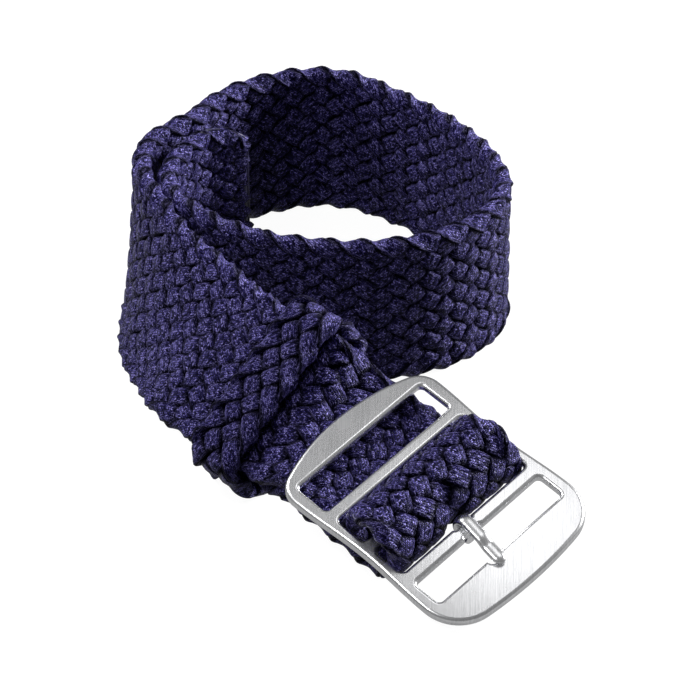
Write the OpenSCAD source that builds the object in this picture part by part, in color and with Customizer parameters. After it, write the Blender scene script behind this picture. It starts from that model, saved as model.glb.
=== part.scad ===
// A braided nylon watch strap with a ladder buckle, rolled up and standing on its edge.
// One flat braid starts under the buckle, loops round the buckle's middle bar, leads away
// under the buckle's end as a leaning panel, and rolls into a ring with its free end inside.

/* [Braid] */
// Width of the strap
strap_width = 20; // [16:0.5:24]
// Thickness of the strap
strap_thick = 2.4; // [2:0.1:2.8]
// Length of the heat-sealed tip at each cut end
seal_length = 4.4; // [4:0.2:5]
// Radius of the sealed tip's corners
seal_corner = 4; // [2:0.2:4]
// How much thinner the sealed tip is than the braid
seal_thinning = 0.6; // [0.2:0.1:1]
// Gap between the strap and its turned-back end
layer_gap = 0.2; // [0.1:0.05:0.6]

/* [Ring] */
// Bend radius at the back of the ring
back_radius = 19; // [17:0.5:21]
// Bend radius at the back right of the ring
corner_radius = 12; // [10:0.5:14]
// Bend radius along the right side of the ring
side_radius = 39; // [36:0.5:42]
// Bend radius at the front right of the ring
front_radius = 13; // [11:0.5:15]
// Gap between the panel and the free end that lies inside it
lap_gap = 0.2; // [0.1:0.05:1]

/* [Buckle] */
// Thickness of the buckle plate
plate_thick = 1.2; // [0.8:0.1:1.5]
// Width of the plate's side rails at their ends
rail_width = 1.8; // [1.7:0.1:2.7]
// How far the plate's sides are drawn in at their waist
waist_depth = 0.5; // [0:0.1:0.6]
// Width of the wide end that the tongue rests on, at its middle
tip_rim = 5.3; // [4:0.1:8]
// Width of the narrow end over the strap, at its middle
tail_rim = 3.7; // [2.5:0.1:6]
// Width of the slot between the narrow end and the first bar
tail_slot = 4.65; // [3:0.1:6]
// Width of the slot that the tongue crosses
tip_slot = 3.73; // [3:0.1:6]
// Width of the first bar, over the strap
first_bar = 1.8; // [1.4:0.1:2.4]
// Width of the middle bar, inside the strap's loop
middle_bar = 1.8; // [1.4:0.1:2]
// Width of the tongue's bar
tongue_bar = 1.97; // [1.7:0.1:2.4]
// Play between the strap's edges and the buckle's rails
slot_play = 0.3; // [0.2:0.05:0.6]
// Gap between the plate and the strap under it
plate_gap = 0.35; // [0.3:0.05:0.8]
// Gap between the middle bar's corners and the loop round it
loop_gap = 0.32; // [0.2:0.02:0.8]
// Gap between the loop and the tongue's bar beside it
bar_gap = 1.23; // [1.1:0.01:2]

/* [Tongue] */
// Width of the tongue
tongue_width = 1.4; // [1:0.1:2]
// Thickness of the tongue
tongue_thick = 0.7; // [0.5:0.05:0.8]
// Running gap between the tongue's curl and its neck of the bar
curl_gap = 0.13; // [0.1:0.01:0.2]
// How far the tongue's tip reaches over the rim
tip_reach = 1.7; // [1:0.1:3]
// Angle at which the tongue lies across its slot
tongue_skew = 9; // [0:1:12]

/* [Keeper] */
// Width of the keeper
keeper_width = 8.2; // [6:0.2:9]
// Thickness of the keeper
keeper_thick = 1.5; // [1.2:0.1:2]
// Gap between the keeper and the strap's faces
keeper_gap = 0.45; // [0.4:0.05:0.8]
// Gap between the keeper and the strap's edges
keeper_side_gap = 0.3; // [0.3:0.05:0.8]

/* [Thread] */
// Diameter of the sewing thread
thread_diameter = 0.3; // [0.2:0.02:0.36]
// Number of holes in the seam across the fold
seam_holes = 8; // [4:2:10]
// Number of stitches that close the keeper
keeper_stitches = 3; // [2:1:4]

/* [Hidden] */
$fn = 64;

braid_colour = "#26235a";
steel_colour = "#b9babb";
thread_colour = "#8f8fb5";
seal_colour = "#45436e";

half_thick = strap_thick / 2;
mid_height = strap_width / 2;

// What brings the middle of the whole strap over the origin
place_x = 2.11;
place_y = 0.95;

// Pose of the buckle: its middle bar's centre, pitch down to the tip and roll to the right
buckle_x = -22.3 + place_x;
buckle_y = -30.2 + place_y;
buckle_pitch = 16;
buckle_roll = 15;
foot_gap = 0.5;

// Half lengths of the buckle from its middle bar to each edge that crosses it
middle_half = middle_bar / 2;
middle_tumble = 0.08;
middle_round = norm([middle_bar, plate_thick]) / 2 - middle_tumble;
loop_inner = norm([middle_bar, plate_thick]) / 2 + loop_gap;
loop_middle = loop_inner + half_thick;
loop_outer = loop_inner + strap_thick;
bar_near = loop_outer + bar_gap;
first_far = bar_near + first_bar;
tail_near = first_far + tail_slot;
tail_far = tail_near + tail_rim;
tongue_far = bar_near + tongue_bar;
tip_near = tongue_far + tip_slot;
tip_far = tip_near + tip_rim;
slot_half = mid_height + slot_play;
slot_corner = 0.6;
rail_half = slot_half + rail_width;
tail_crown_radius = 28.4;
tail_corner_radius = 3.2;
tip_crown_radius = 58;
tip_corner_radius = 5.4;

// Layers of the strap under the plate, as heights from the plate's mid-plane
rise_inside = 0.8;
fall_inside = 1.2;
under_edge = 0.8;
upper_level = -(plate_thick / 2 + plate_gap + half_thick);
lower_level = upper_level - strap_thick - layer_gap;
rise_angle = 70;
rise_radius = half_thick + rise_inside;
fall_angle = 45;
fall_radius = half_thick + fall_inside;
under_tail = tail_far - under_edge;

// Neck of the tongue's bar, the curl round it and the notch under the tongue's tip
pivot_offset = bar_near + tongue_bar / 2;
tongue_u = -0.6;
neck_width = 1.4;
neck_half = 1.6;
curl_inner = norm([neck_width, plate_thick]) / 2 + curl_gap;
curl_outer = curl_inner + tongue_thick;
tongue_rest = 0.1;
arm_drop = curl_outer - tongue_thick - plate_thick / 2 - tongue_rest;
arm_length = tip_near - pivot_offset + tip_reach;
dip_start = 0.35 * arm_length;
dip_end = 0.6 * arm_length;
notch_play = 0.15;

// Keeper's opening and outside, measured across the doubled strap
keeper_inner_half = mid_height + keeper_side_gap;
keeper_inner_rise = strap_thick + layer_gap / 2 + keeper_gap;
keeper_inner_corner = 1.5;
keeper_outer_half = keeper_inner_half + keeper_thick;
keeper_outer_rise = keeper_inner_rise + keeper_thick;
keeper_outer_corner = keeper_inner_corner + keeper_thick;
keeper_start = 0.2;
keeper_butt = 0.2;

// The panel leans from vertical by these angles at its route's points, first at the plate
seat_lean = 50;
layer_drop = (strap_thick + layer_gap) / 2;
keeper_reach = (keeper_outer_half - keeper_outer_corner) * cos(seat_lean)
    + (keeper_outer_rise - keeper_outer_corner + layer_drop) * sin(seat_lean)
    + keeper_outer_corner;
keeper_foot = 0.1;
seat_height = keeper_reach + keeper_foot;
panel_leans = [0, seat_lean, seat_lean, 37, 23, 5, 1, 0];
ring_start = [6.5 + place_x, 41.3 + place_y];
ring_heading = 21.9;

thread_radius = thread_diameter / 2;
thread_bed = 0.03;
seam_margin = 1.6;
seam_place = 1.5;
keeper_stitch_length = 2.4;
keeper_stitch_depth = 0.7 * keeper_thick;

function unit(v) = v / norm(v);
function along(a) = [cos(a), sin(a), 0];
function arc(c, r, a0, a1, n) = [for (i = [0:n]) let (a = a0 + (a1 - a0) * i / n)
    c + r * [cos(a), sin(a)]];
function after_first(points) = [for (i = [1:len(points) - 1]) points[i]];
function before_last(points) = [for (i = [0:len(points) - 2]) points[i]];

// The buckle's own axes: across to the right, towards its narrow end, and up from its face
buckle_across = [cos(buckle_roll), 0, sin(buckle_roll)];
buckle_along = [-sin(buckle_pitch) * sin(buckle_roll), cos(buckle_pitch),
    sin(buckle_pitch) * cos(buckle_roll)];
buckle_up = cross(buckle_across, buckle_along);

// Outline of the plate: a crown at each end, round corners and waisted sides
tail_corner = let (x = rail_half - tail_corner_radius, d = tail_crown_radius - tail_corner_radius)
    [x, tail_far - tail_crown_radius + sqrt(d * d - x * x)];
tip_corner = let (x = rail_half - tip_corner_radius, d = tip_crown_radius - tip_corner_radius)
    [x, tip_crown_radius - tip_far - sqrt(d * d - x * x)];
tail_angle = acos(tail_corner.x / (tail_crown_radius - tail_corner_radius));
tip_angle = acos(tip_corner.x / (tip_crown_radius - tip_corner_radius));
side_steps = 14;
right_side = [for (i = [1:side_steps - 1]) let (s = i / side_steps)
    [rail_half - waist_depth * (1 - cos(360 * s)) / 2,
        tip_corner.y + (tail_corner.y - tip_corner.y) * s]];
right_half = concat(
    arc([0, tip_crown_radius - tip_far], tip_crown_radius, -90, -tip_angle, 5),
    after_first(arc(tip_corner, tip_corner_radius, -tip_angle, 0, 6)),
    right_side,
    before_last(arc(tail_corner, tail_corner_radius, 0, tail_angle, 6)),
    arc([0, tail_far - tail_crown_radius], tail_crown_radius, tail_angle, 90, 5));
left_half = [for (i = [len(right_half) - 2:-1:1]) [-right_half[i].x, right_half[i].y]];
plate_outline = concat(right_half, left_half);

// Height of the middle bar that leaves the plate's lowest edge just above the surface
lowest_edge = min([for (p = plate_outline)
    p.x * buckle_across.z + p.y * buckle_along.z - plate_thick / 2 * buckle_up.z]);
buckle_centre = [buckle_x, buckle_y, foot_gap - lowest_edge];

function on_buckle(x, y, z) = buckle_centre + x * buckle_across + y * buckle_along + z * buckle_up;

// Route of the panel's mid-line from under the plate to the ring, and its lengths
panel_route = [on_buckle(0, under_tail, upper_level),
    [-24.3 + place_x, -9.6 + place_y, seat_height],
    [-23.6 + place_x, 4.2 + place_y, seat_height],
    [-21.3 + place_x, 13.6 + place_y, mid_height + 0.7],
    [-18.1 + place_x, 23.0 + place_y, mid_height + 0.5],
    [-10.2 + place_x, 35.0 + place_y, mid_height + 0.1],
    [-3.0 + place_x, 40.0 + place_y, mid_height + 0.05],
    [ring_start.x, ring_start.y, mid_height]];
route_last = len(panel_route) - 1;
spans = [for (i = [1:route_last]) norm(panel_route[i] - panel_route[i - 1])];
seat_direction = unit(panel_route[2] - panel_route[1]);
headings = [for (i = [0:route_last])
    i == 0 ? buckle_along
    : i <= 2 ? seat_direction
    : i == route_last ? along(ring_heading)
    : (panel_route[i + 1] - panel_route[i - 1]) / (spans[i - 1] + spans[i])];

// Lean of the strap where it leaves the plate, so that it lies flat against it
function level(t) = unit(cross(t, [0, 0, 1]));
first_lean = atan2(buckle_across * level(buckle_along),
    buckle_across * cross(level(buckle_along), buckle_along));
leans = [for (i = [0:route_last]) i == 0 ? first_lean : panel_leans[i]];
lean_rates = [for (i = [0:route_last]) i == 0 || i == route_last ? 0
    : let (a = (leans[i] - leans[i - 1]) / spans[i - 1], b = (leans[i + 1] - leans[i]) / spans[i])
    a * b <= 0 ? 0 : 2 * a * b / (a + b)];

function blend(p0, p1, m0, m1, h, t) = (2 * t - 3) * t * t * (p0 - p1) + p0
    + ((t - 2) * t + 1) * t * h * m0 + (t - 1) * t * t * h * m1;
function slope(p0, p1, m0, m1, h, t) = 6 * (t - 1) * t * (p0 - p1) / h
    + ((3 * t - 4) * t + 1) * m0 + (3 * t - 2) * t * m1;

// A frame on the panel: place, width direction, heading and outward normal
function panel_frame(i, t) = let (h = spans[i],
    p = blend(panel_route[i], panel_route[i + 1], headings[i], headings[i + 1], h, t),
    d = unit(slope(panel_route[i], panel_route[i + 1], headings[i], headings[i + 1], h, t)),
    lean = blend(leans[i], leans[i + 1], lean_rates[i], lean_rates[i + 1], h, t),
    side = level(d),
    w = cos(lean) * cross(side, d) + sin(lean) * side)
    [p, w, d, cross(w, d)];
steps = [6, 1, 5, 5, 6, 5, 4];
function panel_frames(first, last) = concat(
    [for (i = [first:last], k = [0:steps[i] - 1]) panel_frame(i, k / steps[i])],
    [panel_frame(last, 1)]);

// Section of the strap: flat faces, and edges with rounded corners and a narrow flat to stand on
edge_flat = 0.35;
edge_round = half_thick - edge_flat;
corner_steps = 3;
turn_step = 10;
corner_x = mid_height - edge_round;
corner_y = half_thick - edge_round;
section_points = concat(
    arc([corner_x, -corner_y], edge_round, -90, 0, corner_steps),
    arc([corner_x, corner_y], edge_round, 0, 90, corner_steps),
    arc([-corner_x, corner_y], edge_round, 90, 180, corner_steps),
    arc([-corner_x, -corner_y], edge_round, 180, 270, corner_steps));

function ring_frames(states) = [for (s = states)
    [[s[0].x, s[0].y, mid_height], [0, 0, 1], along(s[1]), along(s[1] + 90)]];

// A strip of the strap swept through frames, lowered by drop along its normal
module swept_strip(frames, drop) {
    n = len(section_points);
    rings = len(frames);
    points = [for (f = frames, q = section_points) f[0] + q.x * f[1] + (q.y - drop) * f[3]];
    walls = [for (k = [0:rings - 2], i = [0:n - 1]) let (j = (i + 1) % n, a = k * n, b = a + n)
        each [[a + i, a + j, b + j], [a + i, b + j, b + i]]];
    caps = [for (i = [1:n - 2]) each [[0, i + 1, i],
        [(rings - 1) * n, (rings - 1) * n + i, (rings - 1) * n + i + 1]]];
    polyhedron(points, concat(walls, caps));
}

module on_frame(f) {
    multmatrix([[f[1].x, f[2].x, f[3].x, f[0].x], [f[1].y, f[2].y, f[3].y, f[0].y],
        [f[1].z, f[2].z, f[3].z, f[0].z], [0, 0, 0, 1]])
        children();
}

module on_plate() {
    on_frame([buckle_centre, buckle_across, buckle_along, buckle_up])
        children();
}

// A chain of bends in one plane: each is [radius, turn], a turn to the right being positive,
// and a radius of nought makes the second number a straight length
function bend_end(s, b) = let (h = s[1], r = b[0] * sign(b[1]), e = h - b[1])
    b[0] == 0 ? [s[0] + b[1] * [cos(h), sin(h)], h]
    : [s[0] + r * [sin(h) - sin(e), cos(e) - cos(h)], e];
function chain_starts(s, bends, i = 0) =
    i == len(bends) ? [s] : concat([s], chain_starts(bend_end(s, bends[i]), bends, i + 1));
function bend_steps(b) = b[0] == 0 ? 1 : ceil(abs(b[1]) / min(turn_step, 4 * turn_step / sqrt(b[0])));
function chain_states(s, bends) = let (starts = chain_starts(s, bends)) concat(
    [for (i = [0:len(bends) - 1], n = bend_steps(bends[i]), k = [0:n - 1])
        bend_end(starts[i], [bends[i][0], bends[i][1] * k / n])],
    [starts[len(bends)]]);

// The ring's last two bends are worked out so that the free end lies inside the panel
lap_base = [panel_route[4].x, panel_route[4].y];
lap_line = unit([panel_route[5].x, panel_route[5].y] - lap_base);
lap_lean = (leans[4] + leans[5]) / 2;
lap_inset = strap_thick + lap_gap + mid_height * sin(lap_lean);
lap_distance = 5.9;
lap_point = lap_base + lap_distance * lap_line + lap_inset * [lap_line.y, -lap_line.x];
open_bends = [[back_radius, 50], [corner_radius, 50], [side_radius, 45], [front_radius, 45]];
left_turn = 50;
lap_turn = 60;
open_end = chain_starts([ring_start, ring_heading], open_bends)[len(open_bends)];
left_chord = bend_end([[0, 0], open_end[1]], [1, left_turn])[0];
lap_chord = bend_end([[0, 0], open_end[1] - left_turn], [1, lap_turn])[0];
span_left = lap_point - open_end[0];
chord_cross = left_chord.x * lap_chord.y - left_chord.y * lap_chord.x;
left_radius = (span_left.x * lap_chord.y - span_left.y * lap_chord.x) / chord_cross;
lap_radius = (left_chord.x * span_left.y - left_chord.y * span_left.x) / chord_cross;
ring_bends = concat(open_bends, [[left_radius, left_turn], [lap_radius, lap_turn]]);
free_start = [lap_point, open_end[1] - left_turn - lap_turn];
free_bends = [[13, 42], [17, 36], [12, 11]];
free_finish = chain_starts(free_start, free_bends)[len(free_bends)];

// The seat is the straight stretch that the keeper slides along
seat_frame = panel_frame(1, 0);
turned_length = spans[1] - seal_length;

// A running stitch: holes in a row, with bars between them on one face and then the other
module running_stitch(holes, spacing, top, bottom, r) {
    first = -spacing * (holes - 1) / 2;
    for (i = [0:holes - 1])
        translate([first + i * spacing, 0, bottom]) {
            cylinder(h = top - bottom, r = r);
            sphere(r);
            translate([0, 0, top - bottom])
                sphere(r);
        }
    for (i = [0:holes - 2])
        translate([first + i * spacing, 0, i % 2 == 0 ? top : bottom])
            rotate([0, 90, 0])
                cylinder(h = spacing, r = r);
}

module seam(r) {
    on_frame(seat_frame)
        translate([0, seam_place, 0])
            running_stitch(seam_holes, (strap_width - 2 * seam_margin - strap_thick) / (seam_holes - 1),
                half_thick, -half_thick - layer_gap - strap_thick, r);
}

module keeper_seam(r) {
    on_frame(seat_frame)
        for (i = [0:keeper_stitches - 1])
            translate([0, keeper_start + keeper_width * (i + 1) / (keeper_stitches + 1),
                -layer_drop - keeper_outer_rise])
                rotate([180, 0, 0])
                    running_stitch(2, keeper_stitch_length, 0, -keeper_stitch_depth, r);
}

module rounded_bar(half_x, half_y, corner) {
    square([2 * half_x, 2 * (half_y - corner)], center = true);
    square([2 * (half_x - corner), 2 * half_y], center = true);
    for (x = [-1, 1], y = [-1, 1])
        translate([x * (half_x - corner), y * (half_y - corner)])
            circle(corner);
}

module rounded_tip(length, width, corner, thick) {
    translate([0, 0, -thick / 2])
        linear_extrude(thick)
            intersection() {
                translate([-width / 2, 0])
                    square([width, length]);
                rounded_bar(width / 2, length, corner);
            }
}

module slot(near, far) {
    translate([0, (near + far) / 2])
        rounded_bar(slot_half, abs(far - near) / 2, slot_corner);
}

module strap_wall() {
    color(braid_colour)
        swept_strip(ring_frames(chain_states([ring_start, ring_heading], ring_bends)), 0);
}

module strap_free_end() {
    color(braid_colour)
        swept_strip(ring_frames(chain_states(free_start, free_bends)), 0);
}

module sealed_tip() {
    color(seal_colour)
        translate([free_finish[0].x, free_finish[0].y, mid_height])
            rotate([0, -90, free_finish[1] - 90])
                rounded_tip(seal_length, strap_width - seal_thinning, seal_corner,
                    strap_thick - seal_thinning);
}

module strap_panel() {
    color(braid_colour)
        difference() {
            swept_strip(panel_frames(0, route_last - 1), 0);
            seam(thread_radius + thread_bed);
        }
}

module strap_loop() {
    rise_start = [-loop_middle * sin(rise_angle), loop_middle * cos(rise_angle)];
    rise_fall = rise_radius * (1 - cos(rise_angle));
    rise_length = (rise_start.y - upper_level - rise_fall) / sin(rise_angle);
    fall_start = -loop_middle * cos(fall_angle);
    fall_fall = fall_radius * (1 - cos(fall_angle));
    fall_length = (fall_start - lower_level - fall_fall) / sin(fall_angle);
    upper_length = under_tail + rise_start.x - rise_length * cos(rise_angle)
        - rise_radius * sin(rise_angle);
    lower_length = under_tail + loop_middle * sin(fall_angle) - fall_length * cos(fall_angle)
        - fall_radius * sin(fall_angle);
    loop_turn = 180 + rise_angle - fall_angle;
    states = chain_states([[-under_tail, upper_level], 0],
        [[0, upper_length], [rise_radius, -rise_angle], [0, rise_length],
            [loop_middle, loop_turn], [0, fall_length], [fall_radius, fall_angle],
            [0, lower_length]]);
    color(braid_colour)
        swept_strip([for (s = states)
            [on_buckle(0, -s[0].x, s[0].y), -buckle_across,
                sin(s[1]) * buckle_up - cos(s[1]) * buckle_along,
                cos(s[1]) * buckle_up + sin(s[1]) * buckle_along]], 0);
}

module turned_end() {
    tail = seat_frame[0] + turned_length * seat_direction;
    frames = concat([for (k = [0:steps[0] - 1]) panel_frame(0, k / steps[0])], [seat_frame,
        [tail, seat_frame[1], seat_frame[2], seat_frame[3]]]);
    color(braid_colour)
        difference() {
            swept_strip(frames, strap_thick + layer_gap);
            seam(thread_radius + thread_bed);
        }
}

module turned_end_seal() {
    color(seal_colour)
        on_frame(seat_frame)
            translate([0, turned_length, -strap_thick - layer_gap])
                rounded_tip(seal_length, strap_width - seal_thinning, seal_corner,
                    strap_thick - seal_thinning);
}

module fold_stitching() {
    color(thread_colour)
        seam(thread_radius);
}

module keeper_band() {
    color(braid_colour)
        difference() {
            on_frame(seat_frame)
                translate([0, keeper_start + keeper_width, -layer_drop])
                    rotate([90, 0, 0])
                        linear_extrude(keeper_width)
                            difference() {
                                rounded_bar(keeper_outer_half, keeper_outer_rise,
                                    keeper_outer_corner);
                                rounded_bar(keeper_inner_half, keeper_inner_rise,
                                    keeper_inner_corner);
                                translate([-keeper_butt / 2, -keeper_outer_rise - 1])
                                    square([keeper_butt, keeper_thick + 2]);
                            }
            keeper_seam(thread_radius + thread_bed);
        }
}

module keeper_stitching() {
    color(thread_colour)
        keeper_seam(thread_radius);
}

module plate_face() {
    difference() {
        polygon(plate_outline);
        slot(middle_half, bar_near);
        slot(-bar_near, -middle_half);
        slot(first_far, tail_near);
        slot(-tip_near, -tongue_far);
        for (side = [-1, 1])
            translate([tongue_u - neck_half, side * tongue_bar / 2 - pivot_offset
                    + (side < 0 ? -slot_corner : neck_width / 2 - tongue_bar / 2)])
                square([2 * neck_half, tongue_bar / 2 - neck_width / 2 + slot_corner]);
        translate([tongue_u - arm_length * sin(tongue_skew), -tip_near])
            circle(tongue_width / 2 + notch_play);
    }
}

// What tumbling takes off the middle bar's long edges, so that the strap's loop turns freely on it
module middle_bar_edges() {
    length = 2 * (slot_half - slot_corner);
    difference() {
        cube([length, middle_bar + slot_corner, plate_thick + slot_corner], center = true);
        rotate([0, 90, 0])
            cylinder(h = length + slot_corner, r = middle_round, center = true);
    }
}

module buckle_plate() {
    color(steel_colour)
        on_plate()
            difference() {
                translate([0, 0, -plate_thick / 2])
                    linear_extrude(plate_thick)
                        plate_face();
                middle_bar_edges();
            }
}

// Side view of the tongue's arm: it leaves the top of its curl and dips to rest on the rim
module arm_side() {
    polygon(concat(
        [[0, curl_inner], [dip_start, curl_inner]],
        [[dip_end, curl_inner - arm_drop], [arm_length, curl_inner - arm_drop]],
        [[arm_length, curl_outer - arm_drop], [dip_end, curl_outer - arm_drop]],
        [[dip_start, curl_outer], [0, curl_outer]]));
}

module tongue() {
    color(steel_colour)
        on_plate()
            translate([tongue_u, -pivot_offset, 0]) {
                rotate([0, -90, 180])
                    translate([0, 0, -tongue_width / 2])
                        rotate([0, 0, -210])
                            rotate_extrude(angle = 300)
                                translate([curl_inner, 0])
                                    square([tongue_thick, tongue_width]);
                rotate([0, 0, -tongue_skew])
                    rotate([90, 0, -90])
                        translate([0, 0, -tongue_width / 2])
                            linear_extrude(tongue_width)
                                arm_side();
            }
}

strap_wall();
strap_free_end();
sealed_tip();
strap_panel();
strap_loop();
turned_end();
turned_end_seal();
fold_stitching();
keeper_band();
keeper_stitching();
buckle_plate();
tongue();
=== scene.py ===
# A braided nylon watch strap with a ladder buckle, standing rolled up on its edge.
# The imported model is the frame; this script plaits the cords and finishes the steel round it.
from math import acos, ceil, cos, pi, radians, sin, sqrt, tanh

import bpy
import numpy as np
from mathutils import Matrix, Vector
from mathutils.geometry import tessellate_polygon


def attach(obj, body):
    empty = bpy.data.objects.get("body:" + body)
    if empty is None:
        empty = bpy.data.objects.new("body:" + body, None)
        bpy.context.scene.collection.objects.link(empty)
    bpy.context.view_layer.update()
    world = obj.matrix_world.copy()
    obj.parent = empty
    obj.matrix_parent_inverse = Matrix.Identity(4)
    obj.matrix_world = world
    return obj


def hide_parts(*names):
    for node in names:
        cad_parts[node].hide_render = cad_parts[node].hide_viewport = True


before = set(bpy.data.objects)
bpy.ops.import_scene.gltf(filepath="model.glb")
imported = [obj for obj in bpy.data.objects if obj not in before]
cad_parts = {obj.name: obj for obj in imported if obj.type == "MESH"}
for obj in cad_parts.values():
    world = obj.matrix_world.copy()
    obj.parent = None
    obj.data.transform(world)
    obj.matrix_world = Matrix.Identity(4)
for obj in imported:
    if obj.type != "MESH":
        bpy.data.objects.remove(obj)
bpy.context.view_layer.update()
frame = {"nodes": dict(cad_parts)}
mm = 0.001
print("frame loaded:", ", ".join(frame["nodes"]))

# ---- vectors and chains of bends, in millimetres ----


def unit(v):
    v = np.asarray(v, float)
    return v / np.linalg.norm(v, axis=-1, keepdims=True)


def hermite(p0, p1, m0, m1, h, t):
    return (2 * t - 3) * t * t * (p0 - p1) + p0 + ((t - 2) * t + 1) * t * h * m0 + (t - 1) * t * t * h * m1


def hermiteSlope(p0, p1, m0, m1, h, t):
    return 6 * (t - 1) * t * (p0 - p1) / h + ((3 * t - 4) * t + 1) * m0 + (3 * t - 2) * t * m1


def bendEnd(state, bend):  # a turn to the right is positive; a radius of nought is a straight length
    x, y, heading = state
    radius, turn = bend
    if radius == 0:
        return x + turn * cos(heading), y + turn * sin(heading), heading
    r = radius if turn > 0 else -radius
    end = heading - radians(turn)
    return x + r * (sin(heading) - sin(end)), y + r * (cos(end) - cos(heading)), end


def chain(state, bends, step=0.4):  # states along a chain of bends, about one step apart
    states = []
    for radius, turn in bends:
        size = abs(turn) if radius == 0 else radius * abs(radians(turn))
        count = max(1, ceil(size / step))
        states += [bendEnd(state, (radius, turn * k / count)) for k in range(count)]
        state = bendEnd(state, (radius, turn))
    return states + [state]


# ---- the buckle's place, shared by the strap's loop, the plate and the tongue ----

buckle = {
    "centre": (-20.19, -29.25, 7.51071),  # middle bar's centre
    "pitch": 16,
    "roll": 15,
    "plateThick": 1.2,
    "middleHalf": 0.9,
    "barNear": 5.032,  # distances from the middle bar's centre line
    "tongueFar": 7.002,
    "tipNear": 10.732,
    "tipFar": 16.032,
    "firstFar": 6.832,
    "tailNear": 11.482,
    "tailFar": 15.182,
    "slotHalf": 10.3,
    "slotCorner": 0.6,
    "railHalf": 12.1,
    "waistDepth": 0.5,
    "tailCrown": 28.4,
    "tailCorner": 3.2,
    "tipCrown": 58,
    "tipCorner": 5.4,
    "edgeRadius": 0.45,
    "edgeWidth": 0.52,  # how far in from the outline the rounding starts
    "bow": 0.1,  # how far the plate's normals lean out towards its ends
    "neckHalf": 1.6,
    "neckWidth": 1.4,
    "tongueAt": -0.6,
    "tongueSkew": 9,
    "notchRadius": 0.85,
    "tipReach": 1.7,  # of the tongue past the last slot's far edge
}

pitch, roll = radians(buckle["pitch"]), radians(buckle["roll"])
plateAcross = np.array([cos(roll), 0, sin(roll)])
plateAlong = np.array([-sin(pitch) * sin(roll), cos(pitch), sin(pitch) * cos(roll)])
plateUp = np.cross(plateAcross, plateAlong)
plateAxes = np.array([plateAcross, plateAlong, plateUp])
plateCentre = np.array(buckle["centre"])


def onPlate(points):  # from the plate's own across, along and up to the part's frame
    return plateCentre + np.asarray(points) @ plateAxes


# ---- the band's mid-line: place, width direction and outward normal all the way along ----

band = {
    "width": 20,
    "thick": 2.4,
    "layerGap": 0.2,
    "plateGap": 0.35,
    "underTail": 14.382,
    "barLoop": 3.66,  # bend radius round the middle bar
    "loopSpread": 0.055,  # how much wider the strap spreads over the bar
    "loopReach": 6.3,  # how far along the strap that goes, each way from the bar
    "loopCalm": 0.5,  # share of the cords' rise that the tight loop takes away
    "rise": (2.0, 70),  # bend radius and angle up to the bar
    "fall": (2.4, 45),  # and down from it
    "route": [(-22.19, -8.65, 10.8632), (-21.49, 5.15, 10.8632), (-19.19, 14.55, 10.7),
              (-15.99, 23.95, 10.5), (-8.09, 35.95, 10.1), (-0.89, 40.95, 10.05), (8.61, 42.25, 10.0)],
    "leans": [74.4243, 50, 50, 37, 23, 5, 1, 0],  # from vertical, first at the plate
    "ringHeading": 21.9,
    "ringBends": [(19, 50), (12, 50), (39, 45), (13, 45), (19.3102, 50), (25.9846, 60)],
    "freeBends": [(13, 42), (17, 36), (3.6, 26)],
    "ringSpread": 0.05,  # the soft edges stand a little past the nominal width at the back
    "spreadFrom": (-22, 20, 16),
    "frontSag": 0.7,  # how far the front wall leans out from the nominal ring
    "sagFrom": (34, 52, 10),
    "sealLength": 4.4,
    "sealedRise": 0.72,  # share of the cords' rise that is left at the very end
    "endInset": 0.3,
    "tipCurve": (7.5, 3.4),  # the rounded corner's length along the strap and across it
    "turnedLength": 9.4177,
}

halfThick = band["thick"] / 2
upperLevel = -(buckle["plateThick"] / 2 + band["plateGap"] + halfThick)
layerStep = band["thick"] + band["layerGap"]
lowerLevel = upperLevel - layerStep


def panelPath():
    route = [onPlate([0, band["underTail"], upperLevel])] + [np.array(p) for p in band["route"]]
    last = len(route) - 1
    spans = [np.linalg.norm(route[i + 1] - route[i]) for i in range(last)]
    seat = unit(route[2] - route[1])
    ringWay = radians(band["ringHeading"])
    headings = [plateAlong, seat, seat]
    headings += [(route[i + 1] - route[i - 1]) / (spans[i - 1] + spans[i]) for i in range(3, last)]
    headings += [np.array([cos(ringWay), sin(ringWay), 0])]
    leans = band["leans"]
    rates = [0] * (last + 1)
    for i in range(1, last):
        a, b = (leans[i] - leans[i - 1]) / spans[i - 1], (leans[i + 1] - leans[i]) / spans[i]
        rates[i] = 0 if a * b <= 0 else 2 * a * b / (a + b)

    def at(i, t):
        args = (route[i], route[i + 1], headings[i], headings[i + 1], spans[i], t)
        d = unit(hermiteSlope(*args))
        lean = radians(hermite(leans[i], leans[i + 1], rates[i], rates[i + 1], spans[i], t))
        side = unit(np.cross(d, [0, 0, 1]))
        w = cos(lean) * np.cross(side, d) + sin(lean) * side
        return hermite(*args), w, np.cross(w, d)

    fine, coarse = 40, 30  # places on a span
    under = [at(0, k / fine) for k in range(fine)]
    onward = [at(i, k / coarse) for i in range(1, last) for k in range(coarse)] + [at(last - 1, 1)]
    return under, onward, at(1, 0), seat


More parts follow.
